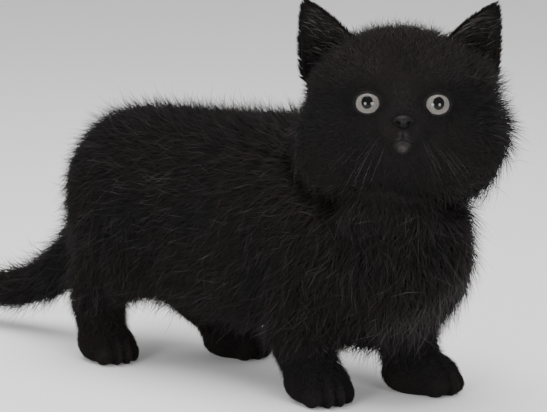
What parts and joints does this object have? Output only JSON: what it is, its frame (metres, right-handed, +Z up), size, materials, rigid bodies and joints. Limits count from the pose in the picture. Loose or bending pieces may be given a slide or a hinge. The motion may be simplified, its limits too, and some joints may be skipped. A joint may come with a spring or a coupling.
{
  "type": "munchkin kitten, still life-size model",
  "caption": "Still, life-size model of a short-legged, black, fluffy munchkin kitten standing with its head turned.",
  "frame": {"origin": "middle of the bottom of the bounding box, on the floor under the soles", "axes": "+X towards the chest, along the body; +Y towards the kitten's left side; +Z up"},
  "size_m": [0.3524, 0.1082, 0.1894],
  "materials": {
    "coat": "soft, dense kitten fur, black with a faint grey-brown sheen",
    "nose_leather": "fine-grained, slightly moist nose leather",
    "eye": "wet, glossy cornea over a silver-grey iris and black pupil"
  },
  "bodies": {
    "root": {"head": "coat", "neck": "coat", "torso": "coat", "tail_root": "coat", "tail_middle": "coat", "tail_tip": "coat", "left_ear": "coat", "right_ear": "coat", "right_fore_leg": "coat", "right_fore_paw": "coat", "left_fore_leg": "coat", "left_fore_paw": "coat", "right_hind_leg": "coat", "right_hind_paw": "coat", "left_hind_leg": "coat", "left_hind_paw": "coat", "nose": "nose_leather", "left_eye": "eye", "right_eye": "eye"}
  },
  "joints": []
}
